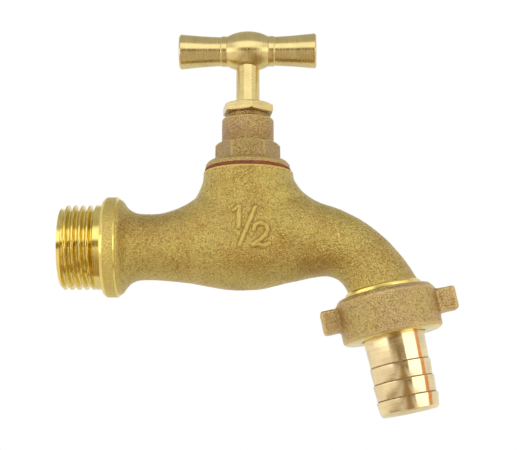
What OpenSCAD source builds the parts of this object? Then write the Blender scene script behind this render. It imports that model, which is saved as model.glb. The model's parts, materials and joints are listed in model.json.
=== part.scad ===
// Brass hose bib: a screw-down bib tap with a T-handle, a packed gland, a cast
// body whose spout bends down, a wing union nut and a barbed hose tail.
// Millimetres, +Z up. The origin is the centre of the inlet collar's outer face.
// The inlet runs along X with its thread at X < 0, and the spindle is upright.

/* [Inlet] */
// Inlet thread diameter over the crests (G 1/2)
inlet_thread_d = 20.955; // [18.5:0.001:24.5]
// Depth of the thread below its crests
thread_depth = 1.16; // [0.7:0.01:1.4]
// Pitch of the pipe thread
thread_pitch = 1.814; // [1.2:0.001:2.3]
// Length from the inlet's end to the collar
inlet_thread_l = 10.3; // [8:0.1:16]
// Plain turned ring between the thread and the collar
inlet_plain_l = 1.8; // [1:0.1:3]
// Diameter of the bore through the inlet
inlet_bore_d = 11.5; // [8:0.1:13]
// Diameter of the inlet collar
collar_d = 24.8; // [23:0.1:32]
// Width of the collar's rim
collar_t = 3; // [2:0.1:6]
// Outside diameter of the pipe behind the collar
pipe_d = 16.4; // [15:0.1:19]

/* [Body] */
// Distance from the collar's face to the spindle axis
valve_x = 35.3; // [30:0.1:44]
// Diameter of the neck that takes the bonnet
neck_d = 22.3; // [21:0.1:27]
// Height of the neck's top face above the inlet axis
neck_top_z = 18.4; // [17.5:0.1:23]
// Diameter of the round belly under the valve seat
belly_d = 22.6; // [21:0.1:27]
// Height of the belly's centre
belly_z = 0.55; // [0:0.05:1.5]
// Least wall of the casting
cast_wall = 2.4; // [1.8:0.1:2.8]

/* [Valve seat] */
// Height of the valve seat
seat_z = 3.5; // [3:0.1:4.2]
// Height of the seat's land above the deck around it
seat_land_h = 1.5; // [0.8:0.1:1.8]
// Outside diameter of the seat's land
seat_d = 12; // [11.4:0.1:14]
// Diameter of the hole through the seat
seat_hole_d = 9; // [8.2:0.1:10]
// Thickness of the deck that carries the seat
deck_t = 2.5; // [2:0.1:3]
// Diameter of the chamber above the seat
chamber_d = 16.5; // [15:0.1:17]

/* [Spout] */
// Distance from the collar's face to the start of the bend
bend_x = 56.07; // [50:0.01:62]
// Height of the spout's centre line at the start of the bend
bend_z = 0.22; // [0:0.02:3]
// Radius of the bend's centre line
bend_r = 12.4; // [11:0.1:20]
// Outside diameter of the spout where it leaves the belly
spout_root_d = 17.1; // [16.6:0.1:20]
// Outside diameter of the spout round the bend
spout_d = 16.4; // [16.2:0.1:18.6]
// Diameter of the waterway round the bend
waterway_d = 12; // [9:0.1:12.6]
// Angle between the outlet and the vertical
outlet_tilt = 11.6; // [0:0.1:25]

/* [Union] */
// Outlet thread as a plain cylinder at its mean diameter (G 1/2)
outlet_thread_d = 19.74; // [17.5:0.01:23]
// Length from the end of the bend to the outlet's face
outlet_l = 7.2; // [6:0.1:11]
// Diameter of the turned band above the union nut
outlet_band_d = 18.9; // [17:0.1:19.4]
// Union nut outside diameter
nut_d = 24.6; // [23.4:0.1:30]
// Distance from the end of the bend to the union nut's top
nut_top = 1.85; // [1.4:0.05:2.6]
// Thickness of the lip that holds the hose tail
nut_lip_t = 1.8; // [1.2:0.1:3]
// Radius that the lugs reach
lug_reach = 16.9; // [15:0.1:21]
// Width of a lug round the nut
lug_w = 6; // [4:0.1:9]
// Height of a lug
lug_h = 5.3; // [4:0.1:6.5]
// Thickness of the hose washer
hose_washer_t = 2; // [1:0.1:3]

/* [Hose tail] */
// Diameter of the tail's flange
tail_flange_d = 19; // [17:0.1:19.3]
// Thickness of the tail's flange
tail_flange_t = 1.8; // [1.2:0.1:3]
// Diameter over the barbs
barb_d = 15.1; // [14:0.1:16.4]
// Step at each barb
barb_step = 0.4; // [0.2:0.05:0.8]
// Distance from one barb to the next
barb_pitch = 4.1; // [3:0.1:6]
// Number of barbs
barb_count = 3; // [2:1:5]
// Length of the plain root between the nut and the first barb
tail_root_l = 6.8; // [3:0.1:12]
// Bore of the hose tail
tail_bore_d = 9.8; // [7:0.1:11]

/* [Bonnet] */
// Diameter of the skirt that screws into the neck
bonnet_skirt_d = 17.3; // [16.4:0.1:18]
// Length of the skirt below the neck's top
bonnet_skirt_l = 5.3; // [4:0.1:6]
// Diameter of the bonnet's flange
bonnet_flange_d = 21; // [19.4:0.1:26]
// Thickness of the bonnet's flange
bonnet_flange_t = 1.9; // [1.4:0.1:3]
// Bonnet hexagon across its flats
bonnet_hex_af = 14.2; // [13.6:0.1:18]
// Height of the bonnet's hexagon
bonnet_hex_h = 4.7; // [4:0.1:8]
// Turn of the bonnet's hexagon
bonnet_turn = 2.5; // [-30:0.5:30]
// Diameter of the bonnet's round head
bonnet_head_d = 12.95; // [12.4:0.05:13.6]
// Height of the bonnet's round head
bonnet_head_h = 6.5; // [6:0.1:12]
// Thickness of the gasket under the flange
gasket_t = 1; // [0.6:0.1:2]

/* [Gland] */
// Diameter of the stuffing box
box_d = 10; // [9:0.1:10.6]
// Gland nut across its flats
gland_af = 11.7; // [10:0.1:13]
// Height of the gland nut's hexagon
gland_hex_h = 2.4; // [2:0.1:5]
// Length of the gland nut's shank that shows below its hexagon
gland_gap = 1.1; // [0.3:0.1:2]
// Turn of the gland nut's hexagon
gland_turn = 40.5; // [0:0.5:60]
// Thickness of each packing ring
packing_t = 1.2; // [0.8:0.1:1.4]
// Thickness of the ring under the packing
base_ring_t = 0.8; // [0.5:0.1:1.2]
// Thickness of the follower on top of the packing
follower_t = 1; // [0.6:0.1:1.4]

/* [Spindle] */
// Diameter of the spindle's stem
stem_d = 5.85; // [5:0.05:6.4]
// Spindle thread as a plain cylinder at its mean diameter
spindle_thread_d = 9.2; // [8.4:0.1:9.6]
// Length of the spindle's threaded part
spindle_thread_l = 9; // [7:0.1:9.2]
// Diameter of the nose that pushes on the valve
nose_d = 8; // [7.2:0.1:8.4]
// Length of the nose
nose_l = 1.95; // [1.8:0.05:2.4]
// Diameter of the pin that keeps the valve in the spindle
keeper_d = 1.2; // [0.8:0.05:1.3]

/* [Valve] */
// Diameter of the seat washer and of the plate above it
washer_d = 12.8; // [12:0.1:14.4]
// Thickness of the seat washer
washer_t = 2.5; // [1.8:0.1:3]
// Thickness of the valve's plate
valve_plate_t = 1.8; // [1.2:0.1:2.2]
// Diameter of the valve's stem
valve_stem_d = 4; // [3.4:0.1:4.4]
// Length of the valve's stem above the plate
valve_stem_l = 5.7; // [4.5:0.1:6]
// Diameter of the stud that carries the washer
stud_d = 3; // [2.4:0.1:3.4]
// Diameter of the small plate under the washer
small_plate_d = 7.2; // [6:0.1:7.6]
// Thickness of the small plate
small_plate_t = 0.8; // [0.5:0.1:1.2]
// Washer nut across its flats
washer_nut_af = 5; // [4.6:0.1:6]
// Height of the washer nut
washer_nut_h = 2; // [1.4:0.1:2.4]

/* [Handle] */
// Height of the T-handle's axis above the inlet axis
handle_z = 50.2; // [47:0.1:62]
// Length of the T-handle
handle_l = 34.6; // [28:0.1:56]
// Diameter of the T-handle's ends
handle_end_d = 8.9; // [7:0.1:12]
// Diameter of each arm beside the collar
handle_arm_d = 7.3; // [6:0.1:7.6]
// Diameter of the short collars beside the boss
handle_collar_d = 7.7; // [7:0.1:9]
// Width of each short collar
handle_collar_w = 1.7; // [1:0.1:3]
// Diameter of the boss
boss_d = 10.2; // [9.2:0.1:14]
// Length of the boss
boss_l = 10.2; // [8:0.1:14]
// Radius of the round edge at the handle's ends
handle_round = 0.6; // [0.4:0.1:2.4]

/* [Clearances] */
// Radial gap round a part that turns or slides in a bore
run_gap = 0.05; // [0.02:0.01:0.1]
// Gap between faces that meet when the tap is shut
face_gap = 0.05; // [0.02:0.01:0.1]
// Radial gap round a part that is only laid in place
loose_gap = 0.15; // [0.08:0.01:0.2]

/* [Hidden] */
$fn = 96;

// colours of the finishes
cast_brass = [0.72, 0.58, 0.30];
turned_brass = [0.86, 0.72, 0.38];
pale_brass = [0.92, 0.83, 0.58];
red_fibre = [0.45, 0.22, 0.15];
black_rubber = [0.12, 0.12, 0.12];
graphite = [0.25, 0.25, 0.24];

// a cutter runs this far past the face that it cuts
past = 1;
// edge breaks on turned and cast edges
edge = 0.5;
small_edge = 0.3;
collar_round = 0.7;
rim_round = 1.2;
// a joined run stays this far inside its neighbour, and a joint ball outside
skin = 0.15;
// latitude of the flats in place of a ball's poles
pole_cut = 84;

// inlet
thread_r = inlet_thread_d / 2;
thread_root_r = thread_r - thread_depth;
thread_lead_r = thread_r - 0.6 * thread_depth;
crest_w = 0.3;
lead_in = 1.2;
crest_count = floor((inlet_thread_l - inlet_plain_l - lead_in) / thread_pitch);
collar_r = collar_d / 2;
pipe_r = pipe_d / 2;
collar_fillet = 3.2;
horn_x = collar_t + 7;
barrel_r = belly_d / 2 - 0.5;
barrel_start = valve_x - 5.3;
barrel_end = valve_x + 3.2;
barrel_bury = 1.2;
horn_l = barrel_start - horn_x;
horn_rise = barrel_r - pipe_r;
horn_r = (horn_l * horn_l + horn_rise * horn_rise) / (2 * horn_rise);

// web over the pipe and the shoulder where it meets the neck
web_start = [15, 1];
web_bury = 1.2;
shoulder = [valve_x, 6.5];
shoulder_bury = 1.6;

// waterway from the inlet to the underside of the seat
inlet_bore_end = valve_x - chamber_d / 2 - cast_wall - 2;
deck_top = seat_z - seat_land_h;
deck_low = deck_top - deck_t;
low_chamber_r = chamber_d / 2 - 1.65;
floor_r = belly_d / 2 - cast_wall;
throat_r = 3.2;
throat_start = [inlet_bore_end - 3.5, -0.5];
throat_end = [valve_x - 4.3, deck_low - throat_r - 0.7];

// waterway from the chamber to the bend
exit_r = 4.4;
exit_z = seat_z + exit_r + 0.3;
exit_knee = [valve_x + chamber_d / 2 + 0.3, exit_z];

// outlet: its frame's +Z runs down the outlet from the end of the bend
bend_sweep = 90 - outlet_tilt;
outlet_x = bend_x + bend_r * cos(outlet_tilt);
outlet_z = bend_z - bend_r + bend_r * sin(outlet_tilt);
band_start = 0.9;
band_flare = 0.5;
band_end = nut_top + 0.4;
outlet_thread_start = band_end + 0.4;

// union: distances down the outlet from the end of the bend
hose_washer_top = outlet_l + face_gap;
flange_top = hose_washer_top + hose_washer_t + face_gap;
lip_top = flange_top + tail_flange_t + face_gap;
nut_end = lip_top + nut_lip_t;
nut_bore_d = outlet_thread_d + 2 * run_gap;
nut_lip_hole_d = barb_d + 0.7;
nut_shoulder = 1.7;
nut_low_edge = 0.8;
lip_bury = 0.2;
lug_top = nut_top + 1.9;
lug_inner_r = nut_bore_d / 2 + 1;
lug_root_r = nut_d / 2 + 1.2;
lug_root_w = lug_w + 2;
lug_root_rise = 0.3;

// hose tail
barb_r = barb_d / 2;
barb_low_r = barb_r - barb_step;
barb_land = 0.35;
tail_neck_r = barb_r - 0.25;
tail_root_r = barb_r - 0.05;
barbs_start = nut_end + tail_root_l;
tail_tip = 0.8;
tail_end = barbs_start + barb_count * barb_pitch - tail_tip / 2;

// bonnet: heights
neck_bore_d = bonnet_skirt_d + 2 * run_gap;
ledge_z = neck_top_z - bonnet_skirt_l - 0.1;
skirt_low = neck_top_z - bonnet_skirt_l;
flange_z = neck_top_z + gasket_t;
hex_z = flange_z + bonnet_flange_t;
head_z = hex_z + bonnet_hex_h;
head_top = head_z + bonnet_head_h;
hex_foot_r = bonnet_hex_af / 2 + 1.2;
bonnet_chamfer = 0.9;
gland_chamfer = 0.7;
gasket_overhang = 0.25;

// valve stack when the tap is shut: heights
washer_low = seat_z + face_gap;
plate_low = washer_low + washer_t;
plate_top = plate_low + valve_plate_t;
small_plate_low = washer_low - small_plate_t;
washer_nut_low = small_plate_low - washer_nut_h;
stud_low = washer_nut_low - 0.6;
lift = ledge_z - plate_top - loose_gap;

// spindle when the tap is shut: heights
nose_z = plate_top + 2 * face_gap;
spindle_thread_low = nose_z + nose_l;
spindle_thread_top = spindle_thread_low + spindle_thread_l;
valve_bore_d = valve_stem_d + 2 * run_gap;
valve_bore_top = plate_top + valve_stem_l + 0.5;
keeper_z = nose_z + nose_l / 2 + 0.05;
keeper_y = valve_stem_d / 2;
groove_r = keeper_y - keeper_d / 2 - 0.1;
groove_h = keeper_d + 0.4;
keeper_l = 2 * sqrt(pow(nose_d / 2, 2) - pow(keeper_y, 2)) - 0.2;
keeper_gap = 0.02;

// stuffing box: heights
thread_room_top = spindle_thread_top + lift + 0.3;
box_z = thread_room_top + 1.3;
packing_z = box_z + base_ring_t;
follower_z = packing_z + 3 * packing_t;
shank_z = follower_z + follower_t;
gland_hex_z = head_top + gland_gap;
gland_top = gland_hex_z + gland_hex_h;
stem_gap_d = stem_d + 2 * run_gap;
stem_loose_d = stem_d + 2 * loose_gap;

// handle
stem_top = handle_z + 1;
boss_half = boss_l / 2;
boss_curve = 1.52 * boss_half;

function arc(c, r, from, to, n = 6) =
    [for (i = [0 : n]) let (a = from + (to - from) * i / n)
        [c[0] + r * cos(a), c[1] + r * sin(a)]];

function mirror_list(points) =
    [for (i = [len(points) - 1 : -1 : 0]) [points[i][0], -points[i][1]]];

// a ring about Z between two diameters and two heights
module ring(d_out, d_in, z0, z1) {
    translate([0, 0, z0])
        rotate_extrude()
            translate([d_in / 2, 0])
                square([(d_out - d_in) / 2, z1 - z0]);
}

// a straight round bar or cone between two points of the plane Y = 0
module run(from, to, r1, r2) {
    dx = to[0] - from[0];
    dz = to[1] - from[1];
    translate([from[0], 0, from[1]])
        rotate([0, atan2(dx, dz), 0])
            cylinder(r1 = r1, r2 = r2, h = norm([dx, dz]));
}

// a round joint between two runs, with small flats in place of its poles
module ball(r) {
    rotate_extrude()
        polygon(concat([[0, -r * sin(pole_cut)]],
            arc([0, 0], r, -pole_cut, pole_cut, 14), [[0, r * sin(pole_cut)]]));
}

// a hexagon prism whose corners are turned off by cones at one or both ends
module chamfered_hex(af, z0, z1, low_chamfer, top_chamfer) {
    corner_r = af / sqrt(3);
    flat_r = af / 2;
    intersection() {
        translate([0, 0, z0])
            cylinder(r = corner_r, h = z1 - z0, $fn = 6);
        rotate_extrude()
            polygon([[0, z0], [corner_r - low_chamfer, z0],
                [corner_r + past, z0 + 0.6 * (low_chamfer + past)],
                [corner_r + past, z1 - 0.6 * (top_chamfer + past)],
                [corner_r - top_chamfer, z1], [0, z1]]);
    }
}

module at_valve() {
    translate([valve_x, 0, 0])
        children();
}

module at_outlet() {
    translate([outlet_x, 0, outlet_z])
        rotate([0, 180 - outlet_tilt, 0])
            children();
}

// the bend as a round bar of the given radius
module bend(r) {
    translate([bend_x, 0, bend_z - bend_r])
        rotate([90, 0, 0])
            rotate([0, 0, outlet_tilt])
                rotate_extrude(angle = bend_sweep)
                    translate([bend_r, 0])
                        circle(r = r);
}

// the thread's crests and roots from the collar's side to the inlet's end
function thread_profile() =
    [for (i = [1 : crest_count]) let (x = -inlet_plain_l - i * thread_pitch)
        each [[thread_root_r, x + thread_pitch / 2],
            [thread_r, x + crest_w / 2], [thread_r, x - crest_w / 2]]];

// inlet thread, collar and pipe, turned about the inlet axis
module inlet_turning() {
    last_crest = -inlet_plain_l - crest_count * thread_pitch;
    rotate([0, 90, 0])
        rotate_extrude()
            polygon(concat(
                [[0, barrel_end], [barrel_r, barrel_end]],
                [for (i = [6 : -1 : 0]) let (x = horn_l * i / 6)
                    [pipe_r + horn_r - sqrt(horn_r * horn_r - x * x), horn_x + x]],
                arc([pipe_r + collar_fillet, collar_t + collar_fillet], collar_fillet, 180, 245),
                arc([collar_r - collar_round, collar_t - collar_round], collar_round, 60, 0, 4),
                [[collar_r, edge], [collar_r - edge, 0], [thread_r, 0],
                    [thread_r, -inlet_plain_l]],
                thread_profile(),
                [[thread_root_r, last_crest - thread_pitch / 2],
                    [thread_lead_r, last_crest - 0.85 * thread_pitch],
                    [thread_lead_r, -inlet_thread_l + 0.2],
                    [thread_lead_r - 0.2, -inlet_thread_l],
                    [0, -inlet_thread_l]]));
}

// belly and neck, turned about the spindle axis
module belly_turning() {
    at_valve()
        rotate_extrude()
            polygon(concat(
                [[0, belly_z - belly_d / 2]],
                arc([0, belly_z], belly_d / 2, -86, -10, 12),
                [[neck_d / 2, belly_z], [neck_d / 2, neck_top_z - small_edge],
                    [neck_d / 2 - small_edge, neck_top_z], [0, neck_top_z]]));
}

// outlet band and thread
module outlet_turning() {
    at_outlet()
        rotate_extrude()
            polygon([[0, -band_flare], [spout_d / 2 + skin, -band_flare],
                [outlet_band_d / 2, band_start], [outlet_band_d / 2, band_end],
                [outlet_thread_d / 2, outlet_thread_start],
                [outlet_thread_d / 2, outlet_l - edge],
                [outlet_thread_d / 2 - edge, outlet_l], [0, outlet_l]]);
}

module cast_shape() {
    inlet_turning();
    belly_turning();
    // web over the pipe, shoulder and underside of the spout's root
    run(web_start, shoulder, pipe_r - web_bury, neck_d / 2 - shoulder_bury);
    run(shoulder, [bend_x, bend_z], neck_d / 2 - skin, spout_root_d / 2);
    run([barrel_end - barrel_bury, 0], [bend_x, bend_z], barrel_r - skin, spout_root_d / 2);
    translate([bend_x, 0, bend_z])
        ball(spout_root_d / 2 + skin);
    bend(spout_d / 2);
    outlet_turning();
}

// what the water runs through, up to the seat
module inlet_waterway() {
    translate([-inlet_thread_l - past, 0, 0])
        rotate([0, 90, 0])
            cylinder(d = inlet_bore_d, h = inlet_bore_end + inlet_thread_l + past);
    run(throat_start, throat_end, throat_r, throat_r);
    at_valve() {
        translate([0, 0, belly_z])
            rotate_extrude()
                polygon(concat([[0, -floor_r * sin(pole_cut)]],
                    arc([0, 0], floor_r, -pole_cut, -acos(low_chamber_r / floor_r)),
                    [[low_chamber_r, deck_low - belly_z], [0, deck_low - belly_z]]));
        translate([0, 0, deck_low - past])
            cylinder(d = seat_hole_d, h = seat_z - deck_low + 2 * past);
    }
}

// what the water runs through, from the seat to the outlet
module outlet_waterway() {
    at_valve() {
        ring(chamber_d, seat_d, deck_top, seat_z + past / 2);
        translate([0, 0, seat_z])
            cylinder(d = chamber_d, h = ledge_z - seat_z);
        translate([0, 0, ledge_z])
            cylinder(d = neck_bore_d, h = neck_top_z - ledge_z + past);
    }
    run([valve_x, exit_z], exit_knee, exit_r, exit_r);
    translate([exit_knee[0], 0, exit_knee[1]])
        ball(exit_r + skin);
    run(exit_knee, [bend_x, bend_z], exit_r, waterway_d / 2);
    translate([bend_x, 0, bend_z])
        ball(waterway_d / 2 + skin);
    bend(waterway_d / 2);
    at_outlet()
        translate([0, 0, -skin])
            cylinder(r = waterway_d / 2 + skin, h = outlet_l + skin + past);
}

module body() {
    color(cast_brass)
        difference() {
            cast_shape();
            inlet_waterway();
            outlet_waterway();
        }
}

module bonnet() {
    color(cast_brass)
        at_valve()
            difference() {
                union() {
                    rotate_extrude()
                        polygon([[0, skirt_low], [bonnet_skirt_d / 2 - edge, skirt_low],
                            [bonnet_skirt_d / 2, skirt_low + edge],
                            [bonnet_skirt_d / 2, flange_z], [bonnet_flange_d / 2, flange_z],
                            [bonnet_flange_d / 2, flange_z + 0.5 * bonnet_flange_t],
                            [bonnet_flange_d / 2 - edge, flange_z + 0.85 * bonnet_flange_t],
                            [hex_foot_r, hex_z], [0, hex_z]]);
                    rotate([0, 0, bonnet_turn])
                        chamfered_hex(bonnet_hex_af, hex_z - edge, head_z, 0, bonnet_chamfer);
                    rotate_extrude()
                        polygon(concat([[0, hex_z], [bonnet_head_d / 2, hex_z]],
                            arc([bonnet_head_d / 2 - rim_round, head_top - rim_round],
                                rim_round, 0, 75),
                            [[0, head_top]]));
                }
                translate([0, 0, skirt_low - past])
                    cylinder(d = spindle_thread_d + 2 * run_gap,
                        h = thread_room_top - skirt_low + past);
                translate([0, 0, skirt_low])
                    cylinder(d = stem_gap_d, h = head_top - skirt_low);
                translate([0, 0, box_z])
                    cylinder(d = box_d, h = head_top - box_z + past);
            }
}

module bonnet_gasket() {
    color(red_fibre)
        at_valve()
            ring(bonnet_flange_d + 2 * gasket_overhang, neck_bore_d, neck_top_z, flange_z);
}

module gland_nut() {
    color(turned_brass)
        at_valve()
            difference() {
                union() {
                    translate([0, 0, shank_z])
                        cylinder(d = box_d - 2 * run_gap, h = gland_hex_z - shank_z);
                    rotate([0, 0, gland_turn])
                        chamfered_hex(gland_af, gland_hex_z, gland_top, 0, gland_chamfer);
                }
                translate([0, 0, shank_z - past])
                    cylinder(d = stem_loose_d, h = gland_top - shank_z + 2 * past);
            }
}

// a ring in the stuffing box, packed close round the stem or loose about it
module box_ring(z, t, bore_d) {
    at_valve()
        ring(box_d - 2 * run_gap, bore_d, z, z + t);
}

module gland_follower() {
    color(turned_brass)
        box_ring(follower_z, follower_t, stem_loose_d);
}

module packing_ring(place) {
    color(graphite)
        box_ring(packing_z + place * packing_t, packing_t, stem_gap_d);
}

module gland_base_ring() {
    color(turned_brass)
        box_ring(box_z, base_ring_t, stem_loose_d);
}

module keeper(d, l) {
    translate([-l / 2, keeper_y, keeper_z])
        rotate([0, 90, 0])
            cylinder(d = d, h = l);
}

module spindle() {
    color(turned_brass)
        at_valve()
            difference() {
                rotate_extrude()
                    polygon([[0, nose_z], [nose_d / 2, nose_z],
                        [nose_d / 2, spindle_thread_low],
                        [spindle_thread_d / 2, spindle_thread_low + edge],
                        [spindle_thread_d / 2, spindle_thread_top - edge],
                        [spindle_thread_d / 2 - edge, spindle_thread_top],
                        [stem_d / 2, spindle_thread_top], [stem_d / 2, stem_top],
                        [0, stem_top]]);
                translate([0, 0, nose_z - past])
                    cylinder(d = valve_bore_d, h = valve_bore_top - nose_z + past);
                keeper(keeper_d + 2 * keeper_gap, nose_d + past);
            }
}

module jumper_pin() {
    color(turned_brass)
        at_valve()
            keeper(keeper_d, keeper_l);
}

// half of the T-handle's outline, as [radius, distance from the spindle axis]
function handle_half() = concat(
    [for (i = [0 : 8]) let (x = boss_half * i / 8)
        [boss_d / 2 * sqrt(1 - pow(x / boss_curve, 2)), x]],
    [[handle_collar_d / 2, boss_half], [handle_collar_d / 2, boss_half + handle_collar_w],
        [handle_arm_d / 2, boss_half + handle_collar_w]],
    arc([handle_end_d / 2 - handle_round, handle_l / 2 - handle_round], handle_round, 0, 90));

module handle_bar() {
    color(turned_brass)
        translate([valve_x, 0, handle_z])
            difference() {
                rotate([0, 90, 0])
                    rotate_extrude()
                        polygon(concat([[0, -handle_l / 2]], mirror_list(handle_half()),
                            handle_half(), [[0, handle_l / 2]]));
                translate([0, 0, -boss_d])
                    cylinder(d = stem_d, h = boss_d + stem_top - handle_z);
            }
}

module valve_jumper() {
    color(turned_brass)
        at_valve()
            rotate_extrude()
                polygon([[0, stud_low], [stud_d / 2, stud_low],
                    [stud_d / 2, plate_low], [washer_d / 2, plate_low],
                    [washer_d / 2, plate_top], [valve_stem_d / 2, plate_top],
                    [valve_stem_d / 2, keeper_z - groove_h / 2],
                    [groove_r, keeper_z - groove_h / 2], [groove_r, keeper_z + groove_h / 2],
                    [valve_stem_d / 2, keeper_z + groove_h / 2],
                    [valve_stem_d / 2, plate_top + valve_stem_l],
                    [0, plate_top + valve_stem_l]]);
}

module seat_washer() {
    color(black_rubber)
        at_valve()
            ring(washer_d, stud_d + 2 * run_gap, washer_low, plate_low);
}

module washer_plate() {
    color(turned_brass)
        at_valve()
            ring(small_plate_d, stud_d + 2 * run_gap, small_plate_low, washer_low);
}

module washer_nut() {
    color(turned_brass)
        at_valve()
            difference() {
                chamfered_hex(washer_nut_af, washer_nut_low, small_plate_low, small_edge, 0);
                translate([0, 0, washer_nut_low - past])
                    cylinder(d = stud_d + 2 * run_gap, h = washer_nut_h + 2 * past);
            }
}

// one lug with the thicker root that joins it to the nut
module lug() {
    translate([lug_inner_r, -lug_w / 2, lug_top])
        cube([lug_reach - lug_inner_r, lug_w, lug_h]);
    translate([lug_inner_r, -lug_root_w / 2, lug_top - lug_root_rise])
        cube([lug_root_r - lug_inner_r, lug_root_w, lug_h + lug_root_rise]);
}

module union_nut() {
    color(cast_brass)
        at_outlet()
            difference() {
                union() {
                    rotate_extrude()
                        polygon(concat([[nut_bore_d / 2 - 1, nut_top]],
                            [[nut_bore_d / 2, nut_top]],
                            arc([nut_d / 2 - nut_shoulder, nut_top + nut_shoulder],
                                nut_shoulder, -70, 0),
                            [[nut_d / 2, nut_end - nut_low_edge], [nut_d / 2 - edge, nut_end],
                                [nut_bore_d / 2 - 1, nut_end]]));
                    lug();
                    rotate([0, 0, 180])
                        lug();
                }
                translate([0, 0, nut_top - past])
                    cylinder(d = nut_bore_d, h = lip_top - nut_top + past);
            }
    color(cast_brass)
        at_outlet()
            ring(nut_bore_d + 2 * lip_bury, nut_lip_hole_d, lip_top, nut_end);
}

module hose_washer() {
    color(black_rubber)
        at_outlet()
            ring(tail_flange_d, waterway_d, hose_washer_top, hose_washer_top + hose_washer_t);
}

// one barb: a land at the step, then a taper towards the tip
function barb(i) = let (s = barbs_start + i * barb_pitch)
    [[barb_low_r, s], [barb_r, s], [barb_r, s + barb_land]];

module hose_tail() {
    color(pale_brass)
        at_outlet()
            difference() {
                rotate_extrude()
                    polygon(concat(
                        [[0, flange_top], [tail_flange_d / 2, flange_top],
                            [tail_flange_d / 2, flange_top + tail_flange_t],
                            [tail_neck_r, flange_top + tail_flange_t],
                            [tail_neck_r, nut_end - nut_low_edge], [tail_root_r, nut_end]],
                        [for (i = [0 : barb_count - 1]) each barb(i)],
                        [[barb_low_r, tail_end - tail_tip],
                            [barb_low_r - tail_tip / 2, tail_end], [0, tail_end]]));
                translate([0, 0, flange_top - past])
                    cylinder(d = tail_bore_d, h = tail_end - flange_top + 2 * past);
            }
}

body();
bonnet();
bonnet_gasket();
gland_nut();
gland_follower();
packing_ring(2);  // packing_ring_upper
packing_ring(1);  // packing_ring_middle
packing_ring(0);  // packing_ring_lower
gland_base_ring();
spindle();
jumper_pin();
handle_bar();
valve_jumper();
seat_washer();
washer_plate();
washer_nut();
union_nut();
hose_washer();
hose_tail();
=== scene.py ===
import json
import math

import bmesh
import bpy
import numpy as np
from mathutils import Matrix, Vector, noise


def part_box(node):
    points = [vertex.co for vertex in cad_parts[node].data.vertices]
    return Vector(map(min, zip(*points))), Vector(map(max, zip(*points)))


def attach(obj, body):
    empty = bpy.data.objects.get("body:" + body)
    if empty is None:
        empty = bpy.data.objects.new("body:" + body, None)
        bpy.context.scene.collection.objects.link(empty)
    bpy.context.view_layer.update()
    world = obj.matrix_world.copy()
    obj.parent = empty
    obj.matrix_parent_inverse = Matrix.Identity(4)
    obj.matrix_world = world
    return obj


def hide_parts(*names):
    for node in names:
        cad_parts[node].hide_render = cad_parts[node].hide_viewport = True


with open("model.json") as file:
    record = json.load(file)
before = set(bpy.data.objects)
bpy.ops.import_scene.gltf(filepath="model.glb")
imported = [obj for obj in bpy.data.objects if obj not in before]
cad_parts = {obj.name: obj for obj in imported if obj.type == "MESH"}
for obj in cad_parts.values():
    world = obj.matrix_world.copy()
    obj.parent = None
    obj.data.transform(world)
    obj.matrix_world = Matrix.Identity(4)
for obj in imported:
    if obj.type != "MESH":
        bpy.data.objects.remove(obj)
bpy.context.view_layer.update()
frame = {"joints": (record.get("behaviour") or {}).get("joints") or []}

bl_info = {
    "name": "Brass hose bib",
    "version": (1, 0, 0),
    "blender": (4, 5, 0),
    "location": "View3D > Sidebar > Hose bib",
    "description": "Builds a cast brass hose bib with its T-handle, union nut and hose tail",
    "category": "Object",
}

# Outlines are drawn in millimetres and become metres when a piece is finished.
MM = 0.001


def corners(node):
    """The lowest and highest corner of a node of the frame, in millimetres."""
    low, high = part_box(node)
    return low / MM, high / MM


# ---- where things are, from the frame ---------------------------------------

BODY_LOW = corners("body")[0]
GASKET_LOW, GASKET_HIGH = corners("bonnet_gasket")
BONNET_LOW, BONNET_HIGH = corners("bonnet")
GLAND_LOW, GLAND_HIGH = corners("gland_nut")
SPINDLE_LOW, SPINDLE_HIGH = corners("spindle")
HANDLE_LOW, HANDLE_HIGH = corners("handle_bar")
VALVE_LOW, VALVE_HIGH = corners("valve_jumper")
SEAL_LOW, SEAL_HIGH = corners("hose_washer")

INLET_END = BODY_LOW.x
VALVE_X = (BONNET_LOW.x + BONNET_HIGH.x) / 2
NECK_TOP = GASKET_LOW.z
HANDLE_Z = HANDLE_HIGH.z - (HANDLE_HIGH.y - HANDLE_LOW.y) / 2

# the outlet's axis, and how far down it the middle of the hose washer lies
OUTLET_AXIS = Vector(next(j["axis"] for j in frame["joints"] if j["name"] == "union_turn"))
OUTLET_TILT = math.degrees(math.atan2(OUTLET_AXIS.x, -OUTLET_AXIS.z))
SEAL_DEPTH = 8.25
OUTLET_START = (SEAL_LOW + SEAL_HIGH) / 2 - SEAL_DEPTH * OUTLET_AXIS

AT_INLET = Matrix.Rotation(math.radians(90), 4, "Y")
AT_VALVE = Matrix.Translation((VALVE_X, 0, 0))
AT_HANDLE = Matrix.Translation((VALVE_X, 0, HANDLE_Z)) @ AT_INLET
AT_OUTLET = Matrix.Translation(OUTLET_START) @ Matrix.Rotation(
    math.radians(180 - OUTLET_TILT), 4, "Y")

# the bend's centre and the radius of the outlet's path round it
BEND_X = 54.6
BEND_R = (OUTLET_START.x - BEND_X) / math.cos(math.radians(OUTLET_TILT))
BEND_Z = OUTLET_START.z - BEND_R * math.sin(math.radians(OUTLET_TILT))


# ---- sizes and colours ------------------------------------------------------

def size(name, description, millimetres):
    """A length property whose default is given in millimetres."""
    return bpy.props.FloatProperty(name=name, description=description, unit="LENGTH",
                                   default=millimetres * MM, min=0, precision=5)


def tint(name, description, colour):
    """A colour property."""
    return bpy.props.FloatVectorProperty(name=name, description=description, subtype="COLOR",
                                         size=3, min=0, max=1, default=colour)


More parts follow.
